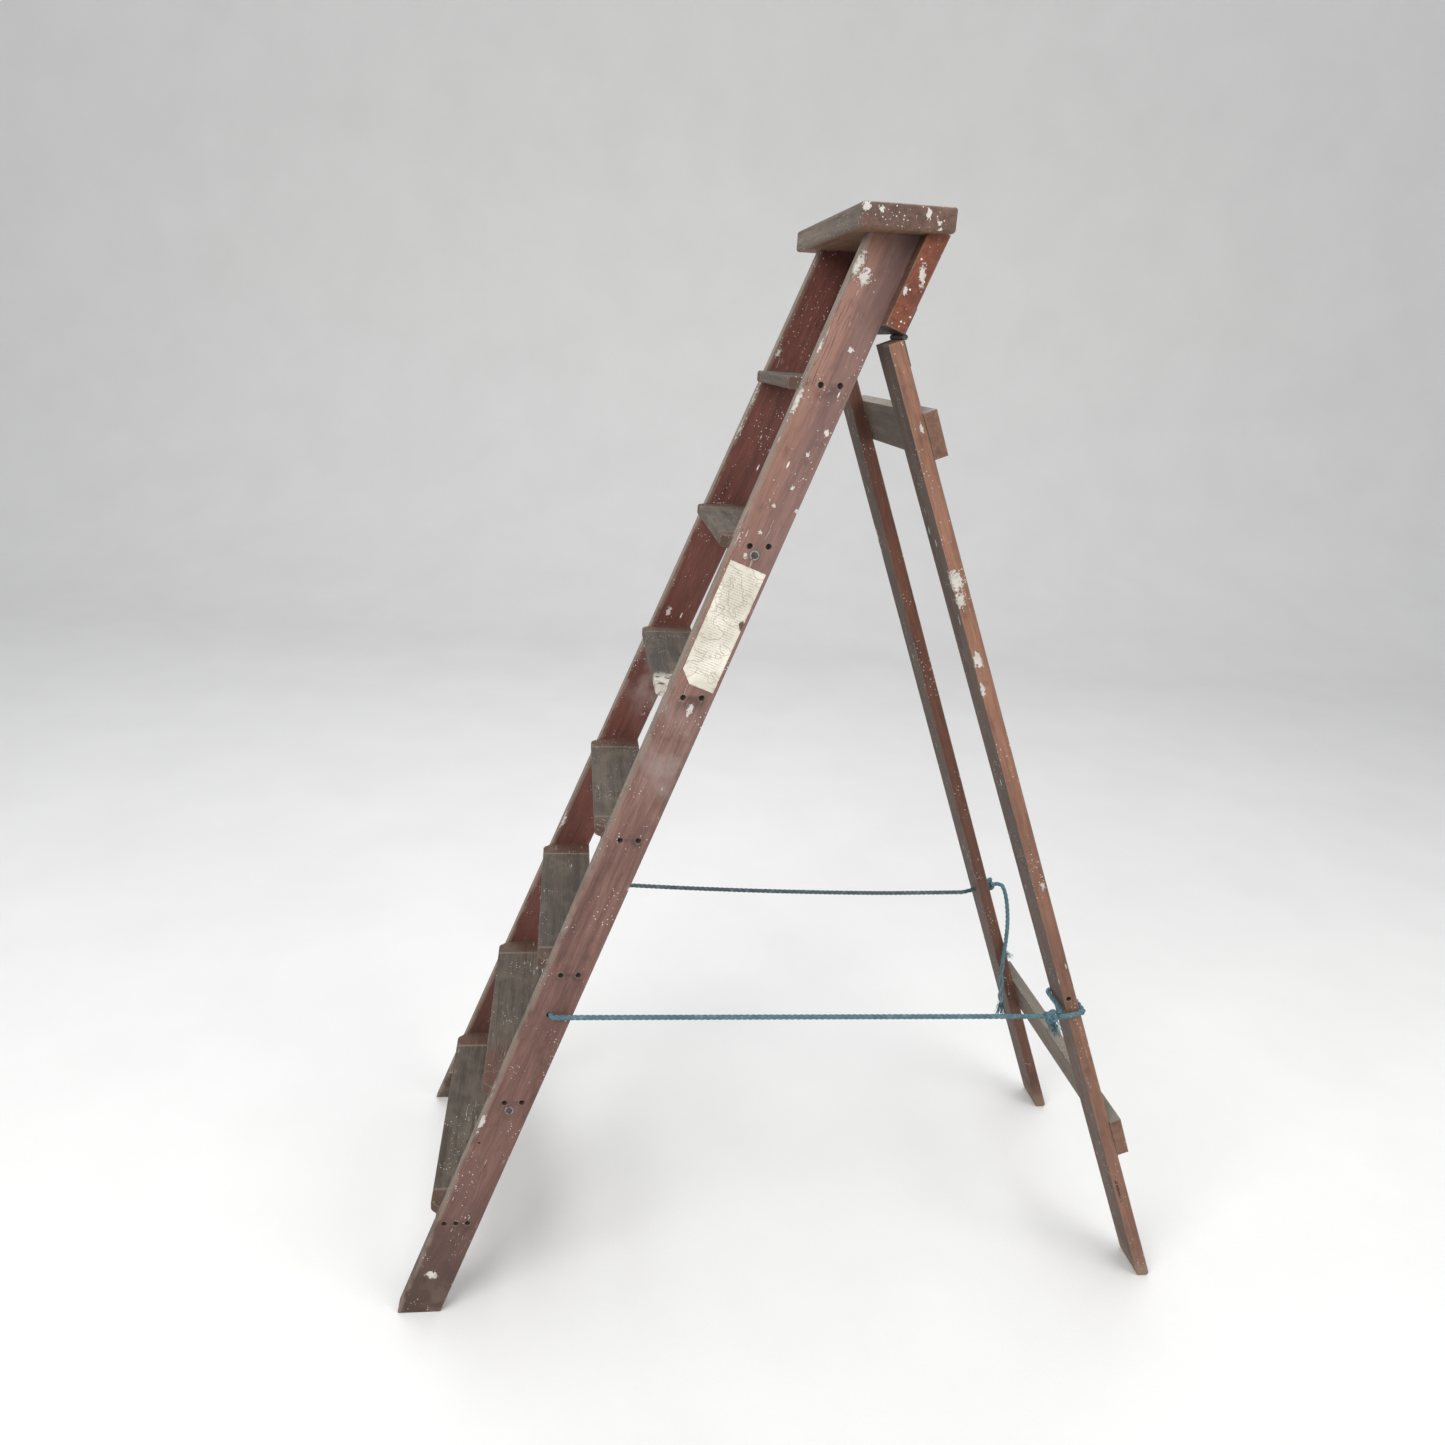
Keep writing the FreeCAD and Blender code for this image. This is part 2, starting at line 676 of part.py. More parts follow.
def noose_points():
    """Out of the knot, back past the leg's outer face, round the leg and into the knot again."""
    centre = noose_knot_centre()
    back = noose_direction()
    slope = math.cos(LEG_LEAN - NOOSE_TILT)
    front_t = (NOOSE_KNOT_AHEAD - NOOSE_CLEARANCE) / slope
    rear_t = (NOOSE_KNOT_AHEAD + LEG_THICK + NOOSE_CLEARANCE) / slope
    outer = leg_x(centre.z) + NOOSE_CLEARANCE
    inner = leg_x(centre.z + 15) - LEG_WIDTH - NOOSE_CLEARANCE
    corners = [
        (outer, NOOSE_KNOT_HALF),
        (outer, rear_t),
        (inner, rear_t),
        (inner, front_t),
        (outer - 11, front_t),
        (outer - 11, NOOSE_KNOT_HALF),
    ]
    return [Vector(x, centre.y + back.y * t, centre.z + back.z * t) for x, t in corners]


def left_rope_points():
    """From the outer face of the left stile, through it, and with a little sag to the left leg's hole."""
    start = across(rope_mouth())
    inward = Vector(OUTWARD.x, 0, -OUTWARD.z)
    corner = start + inward * (STILE_THICK * OUTWARD.x + ROPE_BEND)
    sag = [Vector(-LEG_HOLE_X, corner.y + back, corner.z + up) for back, up in SAG_FROM_HOLE]
    front_face = -PIN_OFFSET - LEG_THICK
    return [start, corner] + sag + [leg_hole(front_face - LEAD_IN), leg_hole(front_face - ROPE_END_GAP)]


def tail_points():
    """From the left leg's front face through the leg and its knot, then hanging beside the leg."""
    knot = leg_hole(-PIN_OFFSET + STOP_KNOT_LENGTH)
    points = [leg_hole(-PIN_OFFSET - LEG_THICK), leg_hole(-PIN_OFFSET + STOP_KNOT_LENGTH + 15)]
    return points + [Vector(x, knot.y + back, knot.z + up) for x, back, up in TAIL_POINTS]


def tail_knot():
    """The stopper knot behind the left leg, with the rope running through it."""
    back = -PIN_OFFSET
    knot = stop_knot(leg_hole(back), LEG_BACK)
    return knot.cut(rod_between(leg_hole(back - 1), leg_hole(back + STOP_KNOT_LENGTH + 1), ROPE_RADIUS))


def both_sides(shapes):
    return group(shapes + [mirrored(shape) for shape in shapes])


os.makedirs("parts", exist_ok=True)

right_stile = stile().cut(stray_hole())
save("right_stile", right_stile)
save("left_stile", mirrored(stile()).cut(splinter()))
for number in range(1, TREAD_COUNT + 1):
    save(f"tread_{number}", tread_part(number))
save("platform", platform())
save("hinge_board", hinge_board())
save("lower_tie_rod", tie_rod(ROD_TREADS[0]))
save("upper_tie_rod", tie_rod(ROD_TREADS[1]))
save("tie_rod_washers", both_sides([washer(number) for number in ROD_TREADS]))
tread_screws = [screw(seat, -OUTWARD, *TREAD_SCREW) for seat in tread_screw_seats()]
save("tread_screws_right", group(tread_screws))
save("tread_screws_left", group([mirrored(one) for one in tread_screws]))
save("platform_screws", group([screw(seat, Vector(0, 0, -1), *FRAME_SCREW) for seat in platform_screw_seats()]))
save("hinge_board_screws", both_sides([screw(seat, -BACKWARD, *FRAME_SCREW) for seat in board_screw_seats()]))
save("paper_label", paper_label())

save("right_rear_leg", rear_leg(1))
save("left_rear_leg", rear_leg(-1))
save("upper_cross_rail", cross_rail(UPPER_RAIL_Z, UPPER_RAIL_HEIGHT))
save("lower_cross_rail", cross_rail(LOWER_RAIL_Z, LOWER_RAIL_HEIGHT))
save("cross_rail_screws", both_sides([screw(seat, -LEG_BACK, *RAIL_SCREW) for seat in rail_screw_seats()]))

save("right_hinge_fixed_leaf", fixed_leaf())
save("left_hinge_fixed_leaf", mirrored(fixed_leaf()))
save("right_hinge_moving_leaf", moving_leaf())
save("left_hinge_moving_leaf", mirrored(moving_leaf()))
save("right_hinge_pin", hinge_pin())
save("left_hinge_pin", mirrored(hinge_pin()))
save("hinge_fixed_screws", both_sides([screw(seat, -BACKWARD, *HINGE_SCREW) for seat in fixed_screw_seats()]))
save("hinge_moving_screws", both_sides([screw(seat, -LEG_BACK, *HINGE_SCREW) for seat in moving_screw_seats()]))

inner_face = rope_mouth() - OUTWARD * (STILE_THICK * OUTWARD.x)
save("right_rope_stile_knot", stop_knot(inner_face, -OUTWARD))
save("right_rope", rope(right_rope_points(), [ROPE_BEND]))
save("right_rope_noose_knot", noose_knot())
save("right_rope_noose", rope(noose_points(), [NOOSE_BEND] * 4))
save("left_rope_stile_knot", stop_knot(across(rope_mouth()), Vector(-OUTWARD.x, 0, OUTWARD.z)))
left_points = left_rope_points()
save("left_rope", rope(left_points, [ROPE_BEND] + widest_bends(left_points)[1:]))
save("left_rope_leg_knot", tail_knot())
save("left_rope_tail", rope(tail_points(), widest_bends(tail_points())))

print(f"hinge pin at Y {PIN_Y:.2f}, Z {PIN_Z:.2f}")
print(f"front foot at Y {FRONT_Y:.2f}, folded by {math.degrees(STILE_LEAN + LEG_LEAN):.2f} degrees")
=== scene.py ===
"""Looks of the old timber step ladder: worn paint, weathered boards and three-strand rope stays."""
import json
import math

import bpy
import numpy as np
from mathutils import Matrix, Vector


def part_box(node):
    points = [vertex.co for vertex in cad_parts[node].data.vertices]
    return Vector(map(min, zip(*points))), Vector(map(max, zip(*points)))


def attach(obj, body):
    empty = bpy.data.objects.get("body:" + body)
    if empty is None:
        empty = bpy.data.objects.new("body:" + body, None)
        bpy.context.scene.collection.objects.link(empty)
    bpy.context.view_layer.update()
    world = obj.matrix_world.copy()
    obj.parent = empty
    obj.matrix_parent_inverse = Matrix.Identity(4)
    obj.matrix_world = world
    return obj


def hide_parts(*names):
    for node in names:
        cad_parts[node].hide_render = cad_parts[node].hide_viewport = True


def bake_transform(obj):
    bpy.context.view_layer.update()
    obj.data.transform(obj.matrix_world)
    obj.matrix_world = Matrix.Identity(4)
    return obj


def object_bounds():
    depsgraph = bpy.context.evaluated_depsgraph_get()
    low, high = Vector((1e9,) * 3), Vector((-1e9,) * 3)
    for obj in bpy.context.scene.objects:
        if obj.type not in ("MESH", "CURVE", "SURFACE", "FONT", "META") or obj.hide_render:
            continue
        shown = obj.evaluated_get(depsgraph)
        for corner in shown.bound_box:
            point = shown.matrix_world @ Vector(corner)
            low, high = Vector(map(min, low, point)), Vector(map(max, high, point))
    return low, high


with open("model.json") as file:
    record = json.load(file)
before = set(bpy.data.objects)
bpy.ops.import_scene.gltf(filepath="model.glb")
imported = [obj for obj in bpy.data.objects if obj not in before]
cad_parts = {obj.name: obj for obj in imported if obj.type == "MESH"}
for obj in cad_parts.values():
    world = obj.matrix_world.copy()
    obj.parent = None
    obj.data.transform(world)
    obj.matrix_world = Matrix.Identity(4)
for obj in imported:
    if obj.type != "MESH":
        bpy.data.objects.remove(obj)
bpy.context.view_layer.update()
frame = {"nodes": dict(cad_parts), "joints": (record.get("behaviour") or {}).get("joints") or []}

STILE_LEAN = math.radians(20.7)
LEG_LEAN = math.radians(21.8)
STILE_HALF, STILE_TAPER, STILE_THICK = 0.281, 0.0648, 0.027
FRONT_Y = frame["joints"][0]["pos_m"][1] - 0.72053  # the front edges' line at the floor, before the feet wore round
FIRST_TREAD_TOP, TREAD_RISE = 0.185, 0.229
ROPE_RADIUS = 0.004


# Materials


class Value:
    """A shader socket or number that ordinary arithmetic works on."""

    def __init__(self, graph, socket):
        self.graph, self.socket = graph, socket

    def _do(self, op, *others, clamp=False):
        return self.graph.math(op, self, *others, clamp=clamp)

    def __add__(self, other): return self._do("ADD", other)
    def __sub__(self, other): return self._do("SUBTRACT", other)
    def __mul__(self, other): return self._do("MULTIPLY", other)
    def __truediv__(self, other): return self._do("DIVIDE", other)
    def __radd__(self, other): return self._do("ADD", other)
    def __rmul__(self, other): return self._do("MULTIPLY", other)
    def __rsub__(self, other): return self.graph.math("SUBTRACT", other, self)
    def abs(self): return self._do("ABSOLUTE")
    def power(self, other): return self._do("POWER", other)
    def step(self, low, high):
        """0 at low, 1 at high, smooth between; low may be above high."""
        if low > high:
            return 1 - self.step(high, low)
        node = self.graph.node("ShaderNodeMapRange", Value=self)
        node.interpolation_type = "SMOOTHSTEP"
        node.inputs["From Min"].default_value = low
        node.inputs["From Max"].default_value = high
        return Value(self.graph, node.outputs["Result"])


class Graph:
    """One material's node graph."""

    def __init__(self, name):
        self.material = bpy.data.materials.new(name)
        self.material.use_nodes = True
        self.nodes = self.material.node_tree.nodes
        self.links = self.material.node_tree.links
        self.shader = self.nodes["Principled BSDF"]
        coords = self.nodes.new("ShaderNodeTexCoord")
        self.place, self.normal, self.uv = (Value(self, coords.outputs[n]) for n in ("Object", "Normal", "UV"))

    def node(self, kind, **inputs):
        node = self.nodes.new(kind)
        for name, value in inputs.items():
            self.feed(node.inputs[name.replace("_", " ")], value)
        return node

    def feed(self, socket, value):
        if isinstance(value, Value):
            self.links.new(value.socket, socket)
        else:
            socket.default_value = value

    def math(self, op, *values, clamp=False):
        node = self.nodes.new("ShaderNodeMath")
        node.operation, node.use_clamp = op, clamp
        for socket, value in zip(node.inputs, values):
            self.feed(socket, value)
        return Value(self, node.outputs[0])

    def largest(self, values):
        total = values[0]
        for value in values[1:]:
            total = self.math("MAXIMUM", total, value)
        return total

    def xyz(self, vector):
        node = self.node("ShaderNodeSeparateXYZ", Vector=vector)
        return [Value(self, out) for out in node.outputs]

    def vector(self, x, y, z):
        return Value(self, self.node("ShaderNodeCombineXYZ", X=x, Y=y, Z=z).outputs[0])

    def noise(self, vector, scale, detail=4.0, rough=0.55, distort=0.0):
        node = self.node("ShaderNodeTexNoise", Vector=vector, Scale=scale, Detail=detail, Roughness=rough, Distortion=distort)
        return Value(self, node.outputs["Fac"])

    def cells(self, vector, scale, random=1.0):
        node = self.node("ShaderNodeTexVoronoi", Vector=vector, Scale=scale, Randomness=random)
        return Value(self, node.outputs["Distance"])

    def mix(self, amount, a, b, mode="MIX"):
        node = self.nodes.new("ShaderNodeMix")
        node.data_type, node.blend_type = "RGBA", mode
        self.feed(node.inputs["Factor"], amount)
        for index, colour in ((6, a), (7, b)):
            self.feed(node.inputs[index], colour if isinstance(colour, Value) else tuple(colour) + (1.0,))
        return Value(self, node.outputs[2])

    def distance(self, point, stretch=(1, 1, 1)):
        """Distance from a point, with each axis divided by its stretch."""
        x, y, z = self.xyz(self.place)
        parts = [(value - float(at)) / float(s) for value, at, s in zip((x, y, z), point, stretch)]
        return (parts[0] * parts[0] + parts[1] * parts[1] + parts[2] * parts[2])._do("SQRT")

    def finish(self, colour, rough, height=None, depth=0.001, metal=0.0, edge=0.0):
        self.feed(self.shader.inputs["Base Color"], colour)
        self.feed(self.shader.inputs["Roughness"], rough)
        self.feed(self.shader.inputs["Metallic"], metal)
        if height is not None:
            bump = self.node("ShaderNodeBump", Height=height, Distance=depth)
            if edge:
                self.links.new(self.node("ShaderNodeBevel", Radius=edge).outputs[0], bump.inputs["Normal"])
            self.links.new(bump.outputs[0], self.shader.inputs["Normal"])
        return self.material


def srgb(*values):
    """A colour named in 0-255 screen values, as the linear values a shader needs."""
    return tuple(((v / 255 + 0.055) / 1.055) ** 2.4 if v > 10 else v / 255 / 12.92 for v in values)


def edge_mask(g, radius):
    """1 at a piece's sharp edges and 0 on its flats, from how far a rounded normal leaves the true one."""
    rounded = g.node("ShaderNodeBevel", Radius=radius)
    true = g.node("ShaderNodeNewGeometry")
    dot = g.nodes.new("ShaderNodeVectorMath")
    dot.operation = "DOT_PRODUCT"
    g.links.new(rounded.outputs[0], dot.inputs[0])
    g.links.new(true.outputs["Normal"], dot.inputs[1])
    return (1 - Value(g, dot.outputs["Value"])).step(0.004, 0.12)


def spots(g, marks, lean):
    """Paint marks: each is a point, a radius and how far it is drawn out along the leaning board."""
    break_up = (g.noise(g.place, 230.0, 6.0, 0.72) - 0.5) * 3.0
    x, y, z = g.xyz(g.place)
    s, c = math.sin(lean), math.cos(lean)
    found = []
    for (px, py, pz), radius, drawn in marks:
        up = ((y - py) * s + (z - pz) * c) / drawn
        across = (y - py) * c - (z - pz) * s
        away = (up * up + across * across + (x - px) * (x - px))._do("SQRT") / float(radius)
        found.append((1 - away + break_up).step(0.34, 0.44))
    return g.largest(found)


def timber(name, axis_lean, faces, marks=(), grain=1.0, paint=srgb(222, 220, 214), seed=0.0, along=None, wear=srgb(132, 118, 104), splatter=0.0, extra=None):
    """Old board. faces gives colour pairs for outer, inner, front, back and end faces; along is the grain's direction;
    wear is the colour of the lightened sharp edges, partly rubbed wood and partly a painted edge highlight.
    """
    g = Graph(name)
    x, y, z = g.xyz(g.place)
    nx, ny, nz = g.xyz(g.normal)
    s, c = math.sin(axis_lean), math.cos(axis_lean)
    up = y * s + z * c
    deep = y * c - z * s
    if along == "X":
        lengthwise, wide, thick = x, y, z
    else:
        lengthwise, wide, thick = up, deep, x
    stretched = g.vector(lengthwise * 0.045 + seed, wide, thick)
    fibre = g.noise(stretched, 420.0 * grain, 5.0, 0.62)
    growth = g.noise(stretched, 75.0 * grain, 4.0, 0.6, 0.6)
    cloud = g.noise(g.vector(lengthwise * 0.35 + seed, wide, thick), 9.0, 4.0, 0.6)
    grime = g.noise(g.vector(lengthwise * 0.8, wide, thick + seed), 38.0, 6.0, 0.65)
    share = (fibre * 0.45 + growth * 0.55 + (cloud - 0.5) * 0.5).step(0.26, 0.80)
    colours = {key: g.mix(share, dark, light) for key, (dark, light) in faces.items()}
    colour = colours["side"]
    if "inner" in colours:
        inner = (nx * x)._do("SIGN") * nx.abs()
        colour = g.mix(inner.step(-0.3, -0.6), colour, colours["inner"])
    if "front" in colours:
        facing = ny * c - nz * s if along is None else ny
        colour = g.mix(facing.step(-0.5, -0.8), colour, colours["front"])
    if "back" in colours:
        facing = ny * c - nz * s if along is None else ny
        colour = g.mix(facing.step(0.5, 0.8), colour, colours["back"])
    if "top" in colours:
        colour = g.mix(nz.step(0.6, 0.85), colour, colours["top"])
    if "under" in colours:
        colour = g.mix(nz.step(-0.6, -0.85), colour, colours["under"])
    if extra:
        colour = extra(g, colour, x, y, z, nx, ny, nz, share)
    colour = g.mix((grime.step(0.52, 0.75)) * 0.55, colour, g.mix(0.6, colour, srgb(38, 30, 25)))
    # Sharp edges take on the wear colour: partly rubbed edges, partly a painted edge highlight.
    edges = edge_mask(g, 0.0035) * grime.step(0.36, 0.55)
    colour = g.mix(edges * 0.75, colour, wear)
    cracks = (1 - (g.noise(stretched, 150.0, 2.0, 0.5) - 0.5).abs() * 40).step(0.0, 1.0) * cloud.step(0.55, 0.7)
    colour = g.mix(cracks * 0.75, colour, srgb(30, 22, 18))
    specks = g.cells(g.vector(x, y, z), 170.0).step(0.20, 0.10) * g.noise(g.place, 16.0).step(0.50, 0.62)
    drips = g.cells(g.vector(lengthwise * 0.22 + seed, wide, thick), 85.0).step(0.15, 0.08)
    drips = drips * g.noise(g.vector(x, y, z + seed), 11.0).step(0.52, 0.60) * grime.step(0.40, 0.52)
    scuffs = g.noise(g.vector(lengthwise * 0.12, wide, thick + seed), 240.0, 3.0).step(0.66, 0.72) * cloud.step(0.50, 0.62)
    specks = g.largest([specks * 0.85, drips * splatter, scuffs * 0.35])
    colour = g.mix(specks, colour, paint)
    painted = spots(g, marks, axis_lean) if marks else None
    if painted:
        colour = g.mix(painted, colour, g.mix(grime, paint, srgb(150, 138, 124)))
    height = fibre * 0.6 + growth * 0.3 - cracks * 0.9 + grime * 0.25
    if painted:
        height = height + painted * 0.5
    rough = 0.58 + grime * 0.25 - specks * 0.1
    return g.finish(colour, rough, height, 0.0009, edge=0.0022)


def on_stile(s, d, x=None):
    """The point s up the stile's front edge and d behind it, on the right stile's outer face."""
    y = FRONT_Y + s * math.sin(STILE_LEAN) + d * math.cos(STILE_LEAN)
    z = s * math.cos(STILE_LEAN) - d * math.sin(STILE_LEAN)
    return (STILE_HALF - STILE_TAPER * z if x is None else x, y, z)


def stile_details(sign):
    """What changes along a stile: the dark dusty foot, the grey haze, and rust below the screws."""

    def extra(g, colour, x, y, z, nx, ny, nz, share):
        low = g.noise(g.place, 22.0, 5.0)
        colour = g.mix((z + (low - 0.5) * 0.16).step(0.27, 0.04) * 0.85, colour, srgb(52, 42, 36))
        colour = g.mix((z + (low - 0.5) * 0.1).step(0.12, 0.0) * low.step(0.45, 0.6) * 0.7, colour, srgb(118, 104, 92))
        deep = (y - FRONT_Y) * math.cos(STILE_LEAN) - z * math.sin(STILE_LEAN)
        outside = (nx * x)._do("SIGN").step(0, 1)
        colour = g.mix(outside * deep.step(0.026, 0.045) * z.step(0.9, 1.3) * 0.4, colour, srgb(118, 92, 88))
        colour = g.mix(outside * deep.step(0.036, 0.018) * z.step(1.1, 1.5) * 0.28, colour, srgb(166, 120, 100))
        colour = g.mix(z.step(1.0, 0.3) * 0.38, colour, srgb(84, 52, 44))
        colour = g.mix(deep.step(0.007, 0.003) * low.step(0.35, 0.5) * 0.55, colour, srgb(132, 116, 104))
        haze = g.distance((sign * 0.216, -0.265, 1.0), (1, 0.55, 1.2)).step(0.11, 0.02) * low.step(0.35, 0.65)
        colour = g.mix(haze * 0.4, colour, srgb(160, 148, 142))
        step = (z - FIRST_TREAD_TOP + 0.009) / TREAD_RISE
        off = (step - step._do("ROUND")) * TREAD_RISE
        stain = off.step(-0.03, -0.004) * off.step(0.006, 0.0) * low.step(0.4, 0.6) * deep.step(0.012, 0.02)
        stain = stain * deep.step(0.06, 0.052)
        return g.mix(stain * 0.6, colour, srgb(48, 30, 25))

    return extra


def tread_details(left_white, right_tint):
    """Brown where a tread is sheltered by the stiles, a painted highlight line along the band's edge, and one painted
    end.
    """

    def extra(g, colour, x, y, z, nx, ny, nz, share):
        wall = STILE_HALF - STILE_THICK - z * STILE_TAPER - x.abs()
        ragged = g.noise(g.place, 60.0, 3.0)
        colour = g.mix((wall + (ragged - 0.5) * 0.012).step(0.042, 0.034) * 0.8, colour, srgb(84, 56, 42))
        # A thin lighter line on the top just past the brown band: painted highlight.
        line = wall.step(0.038, 0.041) * wall.step(0.046, 0.043) * nz.step(0.5, 0.8)
        colour = g.mix(line * 0.4, colour, srgb(150, 132, 114))
        trodden = nz.step(0.6, 0.85) * g.noise(g.vector(x * 0.6, y, z), 24.0, 5.0).step(0.45, 0.65)
        colour = g.mix(trodden * 0.4, colour, srgb(104, 93, 80))
        end = (x + (ragged - 0.5) * 0.03)
        if left_white:
            colour = g.mix(end.step(0.10, 0.15) * ragged.step(0.35, 0.5) * 0.85, colour, srgb(205, 198, 186))
        if right_tint:
            colour = g.mix(end.step(0.09, 0.16) * 0.7, colour, right_tint)
        return colour

    return extra


def steel(name, colour, dark, metal=0.8, rough=0.45):
    g = Graph(name)
    rust = g.noise(g.place, 220.0, 6.0, 0.65).step(0.45, 0.66)
    fine = g.noise(g.place, 900.0, 4.0)
    mixed = g.mix(rust, g.mix(fine, tuple(v * 0.75 for v in colour), colour), dark)
    return g.finish(mixed, rough + rust * 0.35 + fine * 0.1, fine * 0.4 + rust * 0.8, 0.0003, metal - rust * 0.6, edge=0.0006)


def rope_material(name, light, dark):
    """Faded three-strand rope: twisted yarns across each strand, paler where rubbed. UV runs along and round."""
    g = Graph(name)
    u, v, _ = g.xyz(g.uv)
    yarn = ((v * 7.0 + u * 420.0) * 6.2832)._do("SINE") * 0.5 + 0.5
    fuzz = g.noise(g.place, 1400.0, 3.0)
    faded = g.noise(g.place, 24.0, 4.0)
    worn = g.noise(g.place, 130.0, 4.0).step(0.5, 0.7)
    share = yarn * 0.35 + fuzz * 0.4 + faded * 0.35
    colour = g.mix(share.step(0.2, 0.8), dark, light)
    colour = g.mix(worn * 0.45, colour, srgb(128, 150, 152))
    return g.finish(colour, 0.82 + fuzz * 0.12, yarn * 0.6 + fuzz * 0.5, 0.0005)


def paper_material():
    """Aged cream paper with creases, a torn dark notch and a grubby rim."""
    g = Graph("aged paper")
    stain = g.noise(g.place, 18.0, 5.0)
    fleck = g.noise(g.place, 140.0, 5.0, 0.7)
    crease = (g.noise(g.place, 30.0, 2.0) - 0.5).abs().step(0.012, 0.0)
    colour = g.mix(stain.step(0.4, 0.7), srgb(196, 190, 176), srgb(222, 217, 203))
    colour = g.mix(fleck.step(0.6, 0.75) * 0.5, colour, srgb(150, 122, 100))
    colour = g.mix(crease * 0.4, colour, srgb(165, 150, 130))
    x, y, z = g.xyz(g.place)
    up = (y - FRONT_Y) * math.sin(STILE_LEAN) + z * math.cos(STILE_LEAN)
    deep = (y - FRONT_Y) * math.cos(STILE_LEAN) - z * math.sin(STILE_LEAN)
    rules = (up * 1650.0)._do("SINE").step(0.1, 0.8) * g.noise(g.vector(x, deep * 3, up), 320.0, 2.0).step(0.45, 0.55)
    rules = rules * deep.step(0.012, 0.014) * deep.step(0.057, 0.055) * up.step(1.215, 1.218) * up.step(1.385, 1.383)
    colour = g.mix(rules * 0.6, colour, srgb(112, 106, 96))
    torn = (g.distance(on_stile(1.310, 0.0605), (1, 0.8, 1.2)) + (fleck - 0.5) * 0.012).step(0.006, 0.004)
    torn = g.largest([torn, edge_mask(g, 0.003) * fleck.step(0.5, 0.6)])
    colour = g.mix(torn, colour, srgb(92, 70, 60))
    return g.finish(colour, 0.75 + fleck * 0.15, stain * 0.4 + fleck * 0.3 + crease - torn, 0.0006)


def wear(names, material):
    for name in names:
        piece = frame["nodes"][name]
        piece.data.materials.clear()
        piece.data.materials.append(material)


STILE_MARKS = [
    ((0.171, -0.021, 1.696), 0.012, 1.6), ((0.170, -0.031, 1.712), 0.010, 2.6), ((0.177, -0.079, 1.603), 0.008, 2.2),
    ((0.182, -0.106, 1.528), 0.011, 3.0), ((0.257, -0.541, 0.369), 0.009, 2.6), ((0.177, -0.033, 1.599), 0.006, 1.0),
    ((0.185, -0.058, 1.485), 0.006, 1.3), ((0.187, -0.082, 1.454), 0.004, 1.5), ((0.190, -0.102, 1.406), 0.005, 1.0),
    ((0.191, -0.126, 1.380), 0.004, 1.6), ((0.192, -0.092, 1.373), 0.005, 1.0), ((0.194, -0.144, 1.341), 0.005, 1.0),
    ((0.211, -0.233, 1.073), 0.006, 2.5), ((0.214, -0.203, 1.035), 0.005, 2.5), ((0.196, -0.164, 1.307), 0.006, 1.0),
    ((0.230, -0.312, 0.781), 0.006, 1.0), ((0.276, -0.623, 0.075), 0.014, 0.8),
]
STILE_FACES = {
    "side": (srgb(90, 62, 55), srgb(144, 108, 97)),
    "inner": (srgb(74, 36, 29), srgb(112, 62, 50)),
    "front": (srgb(84, 72, 62), srgb(138, 124, 110)),
    "back": (srgb(76, 54, 45), srgb(112, 88, 74)),
}
wear(["right_stile"], timber("worn red-brown stile, right", STILE_LEAN, STILE_FACES, STILE_MARKS, seed=1.7, splatter=0.9, extra=stile_details(1)))
wear(["left_stile"], timber("worn red-brown stile, left", STILE_LEAN, STILE_FACES,
    [((-0.158, -0.116, 1.518), 0.013, 3.5), ((-0.160, -0.134, 1.465), 0.012, 3.0), ((-0.208, -0.421, 0.697), 0.011, 2.5),
        ((-0.150, -0.075, 1.59), 0.006, 2.0), ((-0.182, -0.235, 1.13), 0.007, 2.0)],
    seed=5.1, splatter=1.0, extra=stile_details(-1)))
for number in range(1, 8):
    tint = srgb(96, 62, 50) if number == 2 else None
    faces = {
        "side": (srgb(52, 44, 37), srgb(88, 76, 65)),
        "top": (srgb(48, 42, 36), srgb(96, 84, 72)),
        "front": (srgb(58, 49, 41), srgb(102, 89, 76)),
        "under": (srgb(58, 40, 30), srgb(92, 66, 50)),
    }
    wear([f"tread_{number}"], timber(f"weathered tread {number}", 0.0, faces, seed=number * 2.3, along="X",
        extra=tread_details(number == 5, tint)))
wear(["platform"], timber("platform board", 0.0, {
    "side": (srgb(74, 52, 43), srgb(124, 94, 80)),
    "front": (srgb(70, 60, 52), srgb(122, 108, 95)),
    "top": (srgb(104, 94, 82), srgb(158, 146, 130)),
    "under": (srgb(96, 68, 50), srgb(140, 106, 80)),
}, [((0.219, -0.040, 1.779), 0.010, 0.8), ((0.219, -0.020, 1.777), 0.006, 1.0), ((0.219, 0.045, 1.776), 0.005, 2.0),
    ((0.219, 0.060, 1.765), 0.006, 0.8), ((0.219, 0.062, 1.757), 0.005, 0.8)], seed=11.0, splatter=0.9, along="X"))
wear(["hinge_board"], timber("hinge board", 0.0, {
    "side": (srgb(88, 42, 26), srgb(142, 78, 50)),
    "front": (srgb(70, 44, 34), srgb(108, 74, 58)),
    "back": (srgb(86, 62, 48), srgb(128, 98, 78)),
    "under": (srgb(44, 30, 24), srgb(66, 46, 36)),
}, [((0.198, 0.018, 1.735), 0.007, 3.0), ((0.198, 0.052, 1.70), 0.006, 3.5), ((0.198, 0.03, 1.68), 0.005, 2.0),
    ((0.198, 0.055, 1.655), 0.006, 1.5)], seed=14.0, splatter=1.0, along="X"))
LEG_FACES = {
    "side": (srgb(104, 70, 54), srgb(160, 114, 90)),
    "inner": (srgb(62, 32, 20), srgb(108, 62, 40)),
    "front": (srgb(58, 42, 33), srgb(96, 74, 60)),
    "back": (srgb(96, 80, 68), srgb(140, 122, 104)),
}


